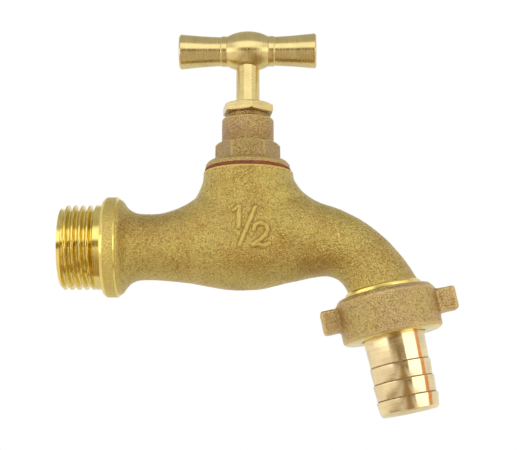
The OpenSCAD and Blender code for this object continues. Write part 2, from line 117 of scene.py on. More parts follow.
class HoseBibSizes(bpy.types.PropertyGroup):
    """Sizes that are only in the finished surfaces"""
    cast_voxel: size("Casting detail", "Spacing of the cast body's surface points", 0.34)
    nut_voxel: size("Nut detail", "Spacing of the union nut's surface points", 0.26)
    waviness: size("Waviness", "How far the cast skin wanders in and out", 0.07)
    relief: size("Numeral height", "How far the size numerals stand out", 0.36)
    stroke: size("Numeral stroke", "Width of the size numerals' strokes", 0.95)
    pipe_pitch: size("Pipe thread pitch", "Pitch of the inlet and outlet threads", 1.814)
    pipe_depth: size("Pipe thread depth", "Depth of the inlet and outlet threads", 1.16)
    spindle_pitch: size("Spindle thread pitch", "Pitch of the spindle's thread", 2)
    spindle_depth: size("Spindle thread depth", "Depth of the spindle's thread", 0.9)


class HoseBibColours(bpy.types.PropertyGroup):
    """Colours of the finishes"""
    cast: tint("Cast brass", "The sand-cast body", (0.62, 0.48, 0.14))
    cast_warm: tint("Warm cast brass", "The browner patches of the cast skin", (0.50, 0.31, 0.08))
    # this colour is also the painted shade in the cast skin's hollows
    cast_dull: tint("Grain shade", "The low spots between the grains", (0.30, 0.17, 0.045))
    nut: tint("Union nut brass", "The cast union nut", (0.61, 0.45, 0.20))
    bonnet: tint("Bonnet brass", "The cast bonnet", (0.56, 0.41, 0.15))
    tarnish: tint("Tarnish", "The pinkish film on the bonnet and the nut", (0.44, 0.27, 0.18))
    turned: tint("Turned brass", "The spindle, the gland nut and the T-handle", (0.80, 0.64, 0.28))
    thread: tint("Thread brass", "The turned threads", (0.90, 0.72, 0.22))
    pale: tint("Pale brass", "The hose tail", (0.95, 0.79, 0.46))
    fibre: tint("Red fibre", "The gasket under the bonnet", (0.44, 0.12, 0.05))
    rubber: tint("Black rubber", "The seat washer and the hose washer", (0.022, 0.022, 0.024))
    graphite: tint("Graphite packing", "The packing rings", (0.07, 0.07, 0.068))
    backdrop: tint("Backdrop", "The floor and the walls", (0.85, 0.85, 0.85))
    card: tint("Front card", "The dark card in front of the tap", (0.26, 0.18, 0.08))
    floor_card: tint("Floor card", "The dark card on the floor", (0.40, 0.26, 0.12))
    pale_card: tint("Pale cards", "The pale cards on the floor at the sides", (1, 0.93, 0.85))
    stand: tint("Lamp stand", "The narrow strip beside the right softbox", (0.8, 0.36, 0.17))


class HoseBibStudio(bpy.types.PropertyGroup):
    """Camera and lamps"""
    camera_place: bpy.props.FloatVectorProperty(
        name="Camera", description="Where the camera stands", subtype="TRANSLATION",
        unit="LENGTH", default=(0.0478, -0.342, -0.06))
    camera_target: bpy.props.FloatVectorProperty(
        name="Target", description="The point that the camera looks at", subtype="TRANSLATION",
        unit="LENGTH", default=(0.03797, 0, 0.00545))
    lens: bpy.props.FloatProperty(name="Lens", description="Focal length of the camera",
                                  unit="CAMERA", default=98.1)
    world: bpy.props.FloatProperty(name="World", description="Brightness of the room",
                                   default=0.56, min=0)


def sizes():
    return bpy.context.scene.hose_bib_sizes


def colours():
    return bpy.context.scene.hose_bib_colours


# ---- outlines ---------------------------------------------------------------

def softened(points, steps=4, closed=False):
    """An outline in which each corner with a third number is rounded by about that radius."""
    outline = []
    for i, point in enumerate(points):
        here = Vector(point[:2])
        at_end = i in (0, len(points) - 1) and not closed
        if len(point) < 3 or at_end:
            outline.append(tuple(here))
            continue
        back = Vector(points[i - 1][:2]) - here
        ahead = Vector(points[(i + 1) % len(points)][:2]) - here
        reach = point[2] / math.tan(back.angle(ahead) / 2)
        start = here + back.normalized() * min(reach, 0.48 * back.length)
        end = here + ahead.normalized() * min(reach, 0.48 * ahead.length)
        for k in range(steps + 1):
            t = k / steps
            outline.append(tuple(start * (1 - t) ** 2 + here * 2 * t * (1 - t) + end * t * t))
    return outline


def rows(radius, low, high, spacing):
    """Points up a straight wall, close enough together to carry a thread."""
    count = max(1, round(abs(high - low) / spacing))
    return [(radius, low + (high - low) * i / count) for i in range(count + 1)]


def through(sections, steps):
    """More sections between the given ones, on a smooth curve through them."""
    ends = [sections[0]] + sections + [sections[-1]]
    result = []
    for a, b, c, d in zip(ends, ends[1:], ends[2:], ends[3:]):
        for k in range(steps):
            t = k / steps
            result.append(tuple(
                0.5 * (2 * q + (r - p) * t + (2 * p - 5 * q + 4 * r - s) * t ** 2
                       + (3 * q - p - 3 * r + s) * t ** 3)
                for p, q, r, s in zip(a, b, c, d)))
    return result + [sections[-1]]


# ---- shapes -----------------------------------------------------------------

def lathe(outline, columns=96, closed=False):
    """Spins an outline of (radius, height) points about Z into a closed skin."""
    bm = bmesh.new()
    points = [bm.verts.new((radius, 0, height)) for radius, height in outline]
    edges = [bm.edges.new(pair) for pair in zip(points, points[1:])]
    if closed:
        edges.append(bm.edges.new((points[-1], points[0])))
    bmesh.ops.spin(bm, geom=points + edges, cent=(0, 0, 0), axis=(0, 0, 1),
                   angle=2 * math.pi, steps=columns, use_merge=True)
    bmesh.ops.remove_doubles(bm, verts=bm.verts, dist=0.0005)
    bmesh.ops.recalc_face_normals(bm, faces=bm.faces)
    return bm


def loft(bm, sections, columns=56):
    """Adds a tube through sections of (x, z, downward tilt, half height, half width)."""
    rings = []
    for i, (x, z, tilt, half, width) in enumerate(sections):
        place = (Matrix.Translation((x, 0, z)) @ Matrix.Rotation(math.radians(90 + tilt), 4, "Y")
                 @ Matrix.Diagonal((half, width, 1, 1)))
        made = bmesh.ops.create_circle(bm, cap_ends=i in (0, len(sections) - 1),
                                       segments=columns, radius=1, matrix=place)
        rings.append({edge for vert in made["verts"] for edge in vert.link_edges})
    for first, second in zip(rings, rings[1:]):
        bmesh.ops.bridge_loops(bm, edges=list(first | second))


def hexagon_radius(angle, flat, corner):
    """How far a hexagon reaches at an angle from one of its corners, with rounded corners."""
    turn = (angle + math.pi / 6) % (math.pi / 3) - math.pi / 6
    straight = flat / math.cos(math.pi / 6 - abs(turn))
    centre = (flat - corner) / math.cos(math.pi / 6)
    edge_of_round = math.atan2(corner * 0.5, centre + corner * math.cos(math.pi / 6))
    if abs(turn) >= edge_of_round:
        return straight
    return centre * math.cos(turn) + math.sqrt(corner ** 2 - (centre * math.sin(turn)) ** 2)


def press_hexagon(bm, low, high, flat, corner):
    """Presses six flats on a turned shape between two heights, with a corner at angle 0."""
    for vert in bm.verts:
        radius = vert.co.xy.length
        if low <= vert.co.z <= high and radius > 0.9 * flat:
            angle = math.atan2(vert.co.y, vert.co.x)
            angle -= 0.15 * math.sin(6 * angle)
            radius = min(radius, hexagon_radius(angle, flat, corner))
            vert.co.x = radius * math.cos(angle)
            vert.co.y = radius * math.sin(angle)


def cut_thread(bm, low, high, crest, depth, pitch, start=0.0, inside=False):
    """Cuts a right-hand thread in the wall that stands at the crest radius."""
    root = crest + depth if inside else crest - depth
    for vert in bm.verts:
        radius = vert.co.xy.length
        on_wall = radius >= crest - 0.001 if inside else radius > root
        if not low <= vert.co.z <= high or not on_wall or abs(radius - crest) > depth:
            continue
        angle = math.atan2(vert.co.y, vert.co.x)
        phase = ((vert.co.z - start) / pitch - angle / (2 * math.pi)) % 1
        flank = min(1, max(0, (abs(2 * phase - 1) - 0.14) / 0.72))
        fade = min(1, (vert.co.z - low) / 0.3, (high - vert.co.z) / 0.5)
        groove = depth * (1 - flank * flank * (3 - 2 * flank)) * fade
        new_radius = crest + groove if inside else min(radius, crest - groove)
        vert.co.xy = vert.co.xy * (new_radius / radius)


def worked(bm, *modifiers):
    """The mesh after some modifiers, each given as a type and its settings."""
    mesh = bpy.data.meshes.new("work")
    bm.to_mesh(mesh)
    bm.free()
    work = bpy.data.objects.new("work", mesh)
    bpy.context.scene.collection.objects.link(work)
    for kind, settings in modifiers:
        modifier = work.modifiers.new(kind, kind)
        for key, value in settings.items():
            setattr(modifier, key, value)
    result = bmesh.new()
    result.from_object(work, bpy.context.evaluated_depsgraph_get())
    bpy.data.objects.remove(work)
    bpy.data.meshes.remove(mesh)
    return result


def fused(bm, voxel, rounds):
    """One smooth cast skin over shapes that overlap."""
    return worked(bm, ("REMESH", {"mode": "VOXEL", "voxel_size": voxel}),
                  ("SMOOTH", {"factor": 0.5, "iterations": rounds}))


def carved(bm, tool):
    """The mesh less the tool's shape."""
    bmesh.ops.recalc_face_normals(tool, faces=tool.faces[:])
    mesh = bpy.data.meshes.new("tool")
    tool.to_mesh(mesh)
    tool.free()
    cutter = bpy.data.objects.new("tool", mesh)
    bpy.context.scene.collection.objects.link(cutter)
    result = worked(bm, ("BOOLEAN", {"object": cutter, "solver": "MANIFOLD"}))
    bpy.data.objects.remove(cutter)
    bpy.data.meshes.remove(mesh)
    return result


def roughen(bm, amount, scale, seed):
    """Moves the skin gently in and out, as a sand mould leaves it."""
    bm.normal_update()
    for vert in bm.verts:
        vert.co += vert.normal * amount * noise.noise(vert.co * scale + Vector((seed, 0, 0)))


def mark_wear(piece, rounds):
    """Gives each point a number: above 0 on edges that rub bright, below 0 in hollows, where the
    cast skin gets painted shade.
    """
    mesh = piece.data
    count = len(mesh.vertices)
    places, normals = np.empty(count * 3), np.empty(count * 3)
    pairs = np.empty(len(mesh.edges) * 2, dtype=int)
    mesh.vertices.foreach_get("co", places)
    mesh.vertex_normals.foreach_get("vector", normals)
    mesh.edges.foreach_get("vertices", pairs)
    places, normals, pairs = places.reshape(-1, 3), normals.reshape(-1, 3), pairs.reshape(-1, 2)
    first, second = np.concatenate((pairs, pairs[:, ::-1])).T
    step = places[second] - places[first]
    length = np.maximum((step ** 2).sum(axis=1), 1e-12)
    bend = -(step * normals[first]).sum(axis=1) / length * 2 * MM
    links = np.maximum(np.bincount(first, minlength=count), 1)
    wear_and_hollow_shade = np.bincount(first, bend, count) / links
    for _ in range(rounds):
        wear_and_hollow_shade = (wear_and_hollow_shade + np.bincount(first, wear_and_hollow_shade[second], count) / links) / 2
    mesh.attributes.new("wear_and_hollow_shade", "FLOAT", "POINT").data.foreach_set("value", np.clip(wear_and_hollow_shade, -1, 1))


def finish(bm, name, place, materials, body, nodes, crease=32):
    """Makes a named piece in metres that rides on a body and stands for its nodes."""
    bmesh.ops.transform(bm, matrix=Matrix.Scale(MM, 4) @ place, verts=bm.verts)
    for face in bm.faces:
        face.smooth = True
    for edge in bm.edges:
        edge.smooth = edge.calc_face_angle(0) < math.radians(crease)
    mesh = bpy.data.meshes.new(name)
    bm.to_mesh(mesh)
    bm.free()
    for material in materials:
        mesh.materials.append(material)
    piece = bpy.data.objects.new(name, mesh)
    bpy.context.scene.collection.objects.link(piece)
    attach(piece, body)
    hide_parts(*nodes)
    return piece


# ---- materials --------------------------------------------------------------

class Surface:
    """A material under construction: a Principled shader and the nodes that feed it."""

    def __init__(self, name, place=None):
        self.material = bpy.data.materials.new(name)
        self.material.use_nodes = True
        self.nodes = self.material.node_tree.nodes
        self.links = self.material.node_tree.links
        self.shader = self.nodes["Principled BSDF"]
        where = self.nodes.new("ShaderNodeTexCoord").outputs["Object"]
        if place is not None:
            where = self.mapped(where, place)
        self.where = where

    def mapped(self, where, place):
        """Object coordinates seen from a place, so that its Z axis is a piece's own axis."""
        mapping = self.nodes.new("ShaderNodeMapping")
        mapping.vector_type = "TEXTURE"
        mapping.inputs["Location"].default_value = place.translation * MM
        mapping.inputs["Rotation"].default_value = place.to_euler()
        self.links.new(where, mapping.inputs["Vector"])
        return mapping.outputs["Vector"]

    def noise(self, spacing, detail=4.0, stretch=(1, 1, 1)):
        """Noise whose patches are about this many millimetres apart."""
        squeeze = self.nodes.new("ShaderNodeMapping")
        squeeze.inputs["Scale"].default_value = stretch
        texture = self.nodes.new("ShaderNodeTexNoise")
        texture.inputs["Scale"].default_value = 1 / (spacing * MM)
        texture.inputs["Detail"].default_value = detail
        self.links.new(self.where, squeeze.inputs["Vector"])
        self.links.new(squeeze.outputs["Vector"], texture.inputs["Vector"])
        return texture.outputs["Fac"]

    def between(self, value, low, high, bottom=0.0, top=1.0):
        """Maps a value from one range to another."""
        spread = self.nodes.new("ShaderNodeMapRange")
        spread.interpolation_type = "SMOOTHSTEP"
        for socket, number in zip(("From Min", "From Max", "To Min", "To Max"),
                                  (low, high, bottom, top)):
            spread.inputs[socket].default_value = number
        self.links.new(value, spread.inputs["Value"])
        return spread.outputs["Result"]

    def mix(self, share, first, second):
        """A colour between two others, each a colour or a socket."""
        mix = self.nodes.new("ShaderNodeMix")
        mix.data_type = "RGBA"
        self.links.new(share, mix.inputs["Factor"])
        for socket, colour in ((mix.inputs["A"], first), (mix.inputs["B"], second)):
            if isinstance(colour, bpy.types.NodeSocket):
                self.links.new(colour, socket)
            else:
                socket.default_value = (*colour, 1)
        return mix.outputs["Result"]

    def math(self, operation, first, second):
        """A Math node on a socket and a number or another socket."""
        node = self.nodes.new("ShaderNodeMath")
        node.operation = operation
        self.links.new(first, node.inputs[0])
        if isinstance(second, bpy.types.NodeSocket):
            self.links.new(second, node.inputs[1])
        else:
            node.inputs[1].default_value = second
        return node.outputs["Value"]

    def axis(self, letter):
        """One coordinate of the place, in metres."""
        split = self.nodes.new("ShaderNodeSeparateXYZ")
        self.links.new(self.where, split.inputs["Vector"])
        return split.outputs[letter]

    def attribute(self, name):
        """A number that the piece carries at each of its points."""
        node = self.nodes.new("ShaderNodeAttribute")
        node.attribute_name = name
        return node.outputs["Fac"]

    def grain_along(self, place):
        """Spreads highlights along the axis that a piece was turned about."""
        turn = self.nodes.new("ShaderNodeVectorTransform")
        turn.vector_type = "VECTOR"
        turn.convert_from, turn.convert_to = "OBJECT", "WORLD"
        # a slight skew, so that the direction never meets a flat end's normal
        turn.inputs["Vector"].default_value = place.to_3x3() @ Vector((0.01, 0.013, 1))
        self.links.new(turn.outputs["Vector"], self.shader.inputs["Tangent"])

    def bump(self, height, depth, under=None):
        """Raises the surface by up to the depth in millimetres."""
        bump = self.nodes.new("ShaderNodeBump")
        bump.inputs["Strength"].default_value = 1
        bump.inputs["Distance"].default_value = depth * MM
        self.links.new(height, bump.inputs["Height"])
        if under is not None:
            self.links.new(under, bump.inputs["Normal"])
        return bump.outputs["Normal"]

    def feed(self, **sockets):
        """Links sockets to the shader's inputs, or sets them where they are plain values."""
        for key, value in sockets.items():
            target = self.shader.inputs[key.replace("_", " ").title().replace("Ior", "IOR")]
            if isinstance(value, bpy.types.NodeSocket):
                self.links.new(value, target)
            else:
                target.default_value = value
        return self.material


def kept(make):
    """Makes each material once, and hands out the same one after that."""
    def get():
        name = make.__name__ + "_finish"
        return bpy.data.materials.get(name) or make(name)
    return get


def cast_skin(name, bright, warm, film, film_share):
    """Sand-cast brass: a fine grain with pits, warm patches, tarnish, painted shade in the
    hollows, worn edges.
    """
    s = Surface(name)
    grain_lows_and_hollow_shade = colours().cast_dull
    grain = s.noise(0.32, 2)
    pits = s.noise(0.8, 3)
    colour = s.mix(s.between(s.noise(8, 2), 0.4, 0.75, 0, 0.7), bright, warm)
    colour = s.mix(s.between(s.noise(11, 3), 0.42, 0.7, 0, film_share), colour, film)
    colour = s.mix(s.between(s.math("ADD", grain, pits), 0.8, 1.02, 0.5, 0), colour, grain_lows_and_hollow_shade)
    colour = s.mix(s.between(grain, 0.54, 0.68, 0, 0.7), colour, lighter(bright, 1.45))
    wear_and_hollow_shade = s.attribute("wear_and_hollow_shade")
    colour = s.mix(s.between(wear_and_hollow_shade, 0.06, 0.5, 0, 0.7), colour, lighter(bright, 1.3))
    # painted shade: the hollows are darkened towards the grain's low-spot colour
    colour = s.mix(s.between(wear_and_hollow_shade, -0.5, -0.1, 0.4, 0), colour, grain_lows_and_hollow_shade)
    roughness = s.between(grain, 0.3, 0.7, 0.44, 0.28)
    normal = s.bump(grain, 0.34, s.bump(pits, 0.22))
    return s.feed(base_color=colour, metallic=1.0, roughness=roughness, normal=normal)


def turned_skin(name, place, bright, line_spacing, roughness):
    """Machined brass: fine tool lines round the axis and slight colour changes."""
    s = Surface(name, place)
    lines = s.noise(line_spacing, 2, (0.02, 0.02, 1))
    colour = s.mix(s.between(s.noise(4, 3), 0.35, 0.7), bright, darker(bright, 0.84))
    colour = s.mix(s.between(lines, 0.35, 0.65, 0.3, 0), colour, darker(bright, 0.7))
    rough = s.between(lines, 0.3, 0.7, roughness * 0.85, roughness * 1.2)
    s.grain_along(place)
    return s.feed(base_color=colour, metallic=1.0, roughness=rough, anisotropic=0.7,
                  normal=s.bump(lines, 0.01))


def darker(colour, share):
    return tuple(channel * share for channel in colour)


def lighter(colour, times):
    return tuple(min(0.95, channel * times) for channel in colour)


@kept
def cast_brass(name):
    c = colours()
    return cast_skin(name, c.cast, c.cast_warm, c.tarnish, 0.12)


@kept
def cast_brass_nut(name):
    c = colours()
    return cast_skin(name, c.nut, c.cast, c.tarnish, 0.6)


# the bonnet's cast brass, also the painted shade on the gland nut's shank under its hexagon
@kept
def cast_brass_bonnet(name):
    c = colours()
    return cast_skin(name, c.bonnet, c.tarnish, c.tarnish, 0.45)


# darker tarnished brass: real tarnish on the bonnet's flange and hexagon, and the painted shadow
# lines above the hose tail's barb steps
@kept
def cast_brass_tarnished(name):
    c = colours()
    return cast_skin(name, darker(c.bonnet, 0.82), c.tarnish, c.tarnish, 0.85)


@kept
def turned_brass_inlet(name):
    return turned_skin(name, AT_INLET, colours().thread, 0.2, 0.2)


@kept
def turned_brass_outlet(name):
    return turned_skin(name, AT_OUTLET, colours().thread, 0.2, 0.24)


@kept
def turned_brass_upright(name):
    return turned_skin(name, AT_VALVE, colours().turned, 0.25, 0.24)


@kept
def turned_brass_handle(name):
    return turned_skin(name, AT_HANDLE, colours().turned, 0.3, 0.26)


@kept
def pale_brass_tail(name):
    return turned_skin(name, AT_OUTLET, colours().pale, 0.25, 0.17)


@kept
def red_fibre(name):
    s = Surface(name)
    fibres = s.noise(0.5, 6, (0.4, 0.4, 2))
    colour = s.mix(s.between(fibres, 0.35, 0.65), darker(colours().fibre, 0.5), colours().fibre)
    return s.feed(base_color=colour, roughness=0.85, normal=s.bump(fibres, 0.05))


@kept
def black_rubber(name):
    s = Surface(name)
    bloom = s.noise(1.5, 5)
    colour = s.mix(s.between(bloom, 0.4, 0.7), colours().rubber, (0.05, 0.05, 0.052))
    return s.feed(base_color=colour, roughness=0.7, normal=s.bump(s.noise(0.3, 3), 0.02))


@kept
def graphite_packing(name):
    s = Surface(name)
    braid = s.noise(0.4, 3, (1, 1, 2.5))
    colour = s.mix(s.between(braid, 0.35, 0.65), darker(colours().graphite, 0.4),
                   colours().graphite)
    return s.feed(base_color=colour, roughness=0.5, metallic=0.2, normal=s.bump(braid, 0.06))


# ---- the cast body ----------------------------------------------------------

# sections of the cast tube: distance from the collar, height and radius
PIPE = [
    (2.8, 0, 12), (3.9, 0, 12), (4.5, 0, 11.6), (5.1, 0, 10.6), (5.8, 0, 9.7), (6.8, 0, 8.9),
    (8.6, 0, 8.25), (12.5, 0, 8.2), (16, 0, 8.5), (21, 0, 9), (26, 0, 9.95), (31, 0, 10.75),
    (37.4, 0, 10.75), (41, 0.1, 10.15), (46, 0.3, 9.15), (50.9, 1, 8.85),
]
# the web that rises from the pipe to the neck, and the shoulder beyond it
WEB = [
    (13, 0.2, 7.9), (16, 0.45, 8.4), (18.6, 1, 8.8), (20.6, 1.6, 9.2), (22.6, 2.5, 9.6),
    (26, 4.4, 10), (VALVE_X, 6, 10.6), (44, 4.6, 10.7), (47, 3.7, 10.3), (50, 2.9, 9.75),
    (52, 2.1, 9.3), (54.6, 1.45, 8.8),
]
# the bend: angle from the top, radius of the path and half the tube's thickness
BEND = [
    (0, 13.95, 8.85), (18, 13.15, 8.05), (34, 12.8, 7.7), (50, 12.8, 7.7), (66, 13.2, 8.05),
    (90 - OUTLET_TILT, BEND_R, 8.6),
]
# the neck and the belly: height, left edge, right edge, half width
NECK = [
    (21, 24.25, 46.6, 11.15), (17.5, 24.3, 46.65, 11.15), (16, 24.1, 47.2, 11.15),
    (14.8, 23.65, 48, 11.15), (13.7, 23.2, 48.9, 11.1), (12.6, 22.7, 50.1, 11),
    (11.7, 22.2, 51, 10.9), (10.2, 22.6, 50.6, 10.9), (7, 23.6, 48.5, 11), (4, 24, 47, 11.1),
    (0.5, 24, 46.6, 11.25),
]
BELLY_R = 11.3
# strokes of the size numerals: a one, a slash and a two, as (x, height) points
ONE = [(32.4, 7.2), (33, 7.7), (33.6, 8.1), (33.5, 3)]
SLASH = [(37.5, 7.8), (33.8, -1.4)]
TWO = softened([(37.2, 2.3), (37.4, 3.5, 1), (38.6, 4, 1), (40, 3.5, 1), (40.5, 2.4, 1),
                (39.9, 1, 1), (38.4, -0.4, 1), (37.1, -1.4), (38.3, -1.2, 1), (39.5, -1.6, 1),
                (40.7, -1)], 2)
NUMERALS_X = (30, 43)
NUMERALS_Z = (-3.5, 11)


def body_tube():
    """The pipe, the web, the neck and the bend, still as overlapping shapes."""
    bm = bmesh.new()
    bend = [(BEND_X + path * math.sin(math.radians(turn)),
             BEND_Z + path * math.cos(math.radians(turn)), turn, half, half + 0.25)
            for turn, path, half in BEND]
    end = OUTLET_START + 1.6 * OUTLET_AXIS + Vector((0.35, 0, 0))
    tube = [(x, z, 0, radius, radius) for x, z, radius in PIPE] + bend
    loft(bm, through(tube + [(end.x, end.z, 95 - OUTLET_TILT, 9.1, 9.1)], 3))
    loft(bm, through([(x, z, 0, radius, radius) for x, z, radius in WEB], 3))
    neck = [((left + right) / 2, z, 90, (right - left) / 2, width)
            for z, left, right, width in NECK]
    for angle in range(15, 90, 15):
        turn = math.radians(angle)
        neck.append((VALVE_X, 0.5 - BELLY_R * math.sin(turn), 90, BELLY_R * math.cos(turn),
                     BELLY_R * math.cos(turn)))
    loft(bm, through(neck, 2))
    return bm


def distance_to_stroke(x, z, points):
    """How far a point of the front lies from a stroke's line."""
    point = Vector((x, z))
    best = 1e9
    for start, end in zip(points, points[1:]):
        start, end = Vector(start), Vector(end)
        along = (end - start)
        share = min(1, max(0, (point - start).dot(along) / along.length_squared))
        best = min(best, (point - start - share * along).length)
    return best


def numeral_gap(point):
    """How far a point of the belly's front lies from the nearest stroke, if it is near one."""
    x, y, z = point
    if y > -5 or not NUMERALS_X[0] < x < NUMERALS_X[1] or not NUMERALS_Z[0] < z < NUMERALS_Z[1]:
        return None
    return min(distance_to_stroke(x, z, stroke) for stroke in (ONE, SLASH, TWO))


def raise_numerals(bm):
    """Lifts the size numerals out of the front of the belly."""
    half, height = sizes().stroke / MM / 2, sizes().relief / MM
    near = [edge for edge in bm.edges
            if all(numeral_gap(vert.co) is not None for vert in edge.verts)]
    bmesh.ops.subdivide_edges(bm, edges=near, cuts=1, use_grid_fill=True)
    for vert in bm.verts:
        gap = numeral_gap(vert.co)
        if gap is not None:
            rise = min(1, max(0, (half + 0.3 - gap) / 0.6))
            vert.co.y -= height * rise * rise * (3 - 2 * rise)


def waterways():
    """The bores and chambers inside the casting, each as the sections of its cutter."""
    turns = [(BEND_X + BEND_R * math.sin(math.radians(turn)),
              BEND_Z + BEND_R * math.cos(math.radians(turn)), turn, 5.6, 5.6)
             for turn in range(0, 79, 13)]
    end = OUTLET_START + 4 * OUTLET_AXIS
    inlet = [(INLET_END - 1, 0, 0, 5.75, 5.75), (22.6, 0, 0, 5.75, 5.75),
             (24.5, -0.8, 30, 4, 4), (31, -5.5, 30, 3.4, 3.4)]
    below_seat = [(VALVE_X, -0.2, 90, 6.6, 6.6), (VALVE_X, -4, 90, 6.6, 6.6),
                  (VALVE_X, -7.6, 90, 4, 4)]
    chamber = [(VALVE_X, 14, 90, 8.25, 8.25), (VALVE_X, 2.2, 90, 8.25, 8.25)]
    seat_hole = [(VALVE_X, 3, 90, 4.5, 4.5), (VALVE_X, -1, 90, 4.5, 4.5)]
    neck_bore = [(VALVE_X, NECK_TOP + 1, 90, 8.7, 8.7), (VALVE_X, 13, 90, 8.7, 8.7)]
    outlet = ([(VALVE_X + 4, 8.2, 0, 4.4, 4.4), (43.9, 8.2, 0, 4.4, 4.4)] + turns
              + [(end.x, end.z, 90 - OUTLET_TILT, 6, 6)])
    return inlet, below_seat, chamber, seat_hole, neck_bore, outlet


class HOSEBIB_OT_body(bpy.types.Operator):
    """Makes the cast body with its numerals and waterways"""
    bl_idname = "hosebib.body"
    bl_label = "Cast body"

    def execute(self, context):
        bm = fused(body_tube(), sizes().cast_voxel / MM, 45)
        raise_numerals(bm)
        roughen(bm, sizes().waviness / MM, 0.35, 3)
        bmesh.ops.bisect_plane(bm, geom=bm.verts[:] + bm.edges[:] + bm.faces[:], dist=0.001,
                               plane_co=(0, 0, NECK_TOP), plane_no=(0, 0, 1), clear_outer=True)
        rim = [edge for edge in bm.edges if edge.is_boundary]
        bmesh.ops.triangle_fill(bm, edges=rim, use_beauty=True, normal=(0, 0, 1))
        for sections in waterways():
            tool = bmesh.new()
            loft(tool, sections)
            bm = carved(bm, tool)
        piece = finish(bm, "body_casting", Matrix.Identity(4), [cast_brass()], "root",
                       ["body"], crease=50)
        mark_wear(piece, 3)
        return {"FINISHED"}


# ---- turned ends of the body ------------------------------------------------

class HOSEBIB_OT_inlet(bpy.types.Operator):
    """Makes the inlet thread with the collar behind it"""
    bl_idname = "hosebib.inlet"
    bl_label = "Inlet thread and collar"

    def execute(self, context):
        crest, collar, plain = 10.4775, 12.38, -1.8
        pitch, depth = sizes().pipe_pitch / MM, sizes().pipe_depth / MM
        outline = softened([(5.75, INLET_END, 0.2), (9.75, INLET_END, 0.2)])
        outline += rows(crest, INLET_END + 0.7, plain, 0.1)[1:]
        outline += softened([(crest, plain + 0.1), (crest, -0.15, 0.1), (crest + 0.15, 0),
                             (collar - 0.55, 0, 0.2), (collar, 0.75, 0.3), (collar, 3.35, 0.15),
                             (collar - 0.3, 3.75, 0.15), (11.7, 3.8), (11.6, 3.6)], 3)
        outline += [(5.75, 3.6)]
        bm = lathe(outline, 144, closed=True)
        cut_thread(bm, INLET_END + 0.2, plain, crest, depth, pitch, start=0.975)
        piece = finish(bm, "inlet_thread_and_collar", AT_INLET,
                       [turned_brass_inlet(), cast_brass()], "root", ["body"])
        for face in piece.data.polygons:
            if 0.9 * MM < face.center.x < 3.3 * MM and face.center.yz.length > 12 * MM:
                face.material_index = 1
        mark_wear(piece, 1)
        return {"FINISHED"}


class HOSEBIB_OT_outlet(bpy.types.Operator):
    """Makes the turned band and the outlet thread under the union nut"""
    bl_idname = "hosebib.outlet"
    bl_label = "Outlet thread"

    def execute(self, context):
        crest, face = 10.41, 7.2
        pitch, depth = sizes().pipe_pitch / MM, sizes().pipe_depth / MM
        outline = softened([(6, 0.3), (8.3, 0.3), (9.0, 0.55, 0.1), (9.45, 0.95, 0.2),
                            (9.45, 2.3, 0.1), (9.2, 2.5)], 3)
        outline += rows(crest, 2.7, face - 0.7, 0.12)
        outline += [(crest - 0.9, face), (6, face)]
        bm = lathe(outline, 144, closed=True)
        cut_thread(bm, 2.6, face + 0.4, crest, depth, pitch, start=0.4)
        finish(bm, "outlet_thread", AT_OUTLET, [turned_brass_outlet()], "root",
               ["body"])
        return {"FINISHED"}


# ---- bonnet, gasket and gland -----------------------------------------------

class HOSEBIB_OT_bonnet(bpy.types.Operator):
    """Makes the cast bonnet with its flange, hexagon and round head"""
    bl_idname = "hosebib.bonnet"
    bl_label = "Bonnet"

    def execute(self, context):
        low, top = BONNET_LOW.z, BONNET_HIGH.z
        flange, hexagon, head = GASKET_HIGH.z, GASKET_HIGH.z + 1.9, GASKET_HIGH.z + 6.6
        flat, corner = 7.1, 8.198
        box = GLAND_LOW.z - 5.4
        outline = softened([(4.65, low, 0.2), (8.6, low, 0.4), (8.65, flange - 1),
                            (8.65, flange), (10.5, flange, 0.15), (10.5, flange + 0.9, 0.35),
                            (9.9, hexagon - 0.25, 0.3), (corner + 0.25, hexagon, 0.2)], 4)
        outline += rows(corner, hexagon + 0.25, head - 0.9, 0.3)
        outline += [(corner - 0.9 * i / 5, head - 0.55 + 0.5 * i / 5) for i in range(6)]
        outline += softened([(6.9, head + 0.02), (6.475, head + 0.1, 0.25),
                             (6.475, top - 0.4, 1), (5.9, top, 0.5), (5, top, 0.25)], 5)
        outline += [(5, box), (3.1, box), (3.1, box - 1.1), (4.65, box - 1.3)]
        bm = lathe(outline, 144, closed=True)
        press_hexagon(bm, hexagon + 0.2, head + 0.01, flat, 0.55)
        roughen(bm, 0.05, 0.5, 11)
        place = AT_VALVE @ Matrix.Rotation(math.radians(2.5), 4, "Z")
        materials = [cast_brass_bonnet(), cast_brass_tarnished()]
        piece = finish(bm, "bonnet_casting", place, materials, "root",
                       ["bonnet"])
        # the flange and the hexagon are more tarnished than the head
        for face in piece.data.polygons:
            if flange * MM < face.center.z < (head + 0.05) * MM:
                face.material_index = 1
        mark_wear(piece, 3)
        return {"FINISHED"}


class HOSEBIB_OT_gasket(bpy.types.Operator):
    """Makes the fibre gasket between the neck and the bonnet"""
    bl_idname = "hosebib.gasket"
    bl_label = "Gasket"

    def execute(self, context):
        low, high = GASKET_LOW.z, GASKET_HIGH.z
        outer = (GASKET_HIGH.y - GASKET_LOW.y) / 2
        outline = softened([(8.75, low, 0.1), (outer - 0.05, low, 0.25),
                            (outer - 0.05, high, 0.25), (8.75, high, 0.1)], closed=True)
        bm = lathe(outline, 128, closed=True)
        roughen(bm, 0.1, 0.6, 5)
        finish(bm, "gasket_ring", AT_VALVE, [red_fibre()], "root",
               ["bonnet_gasket"])
        return {"FINISHED"}


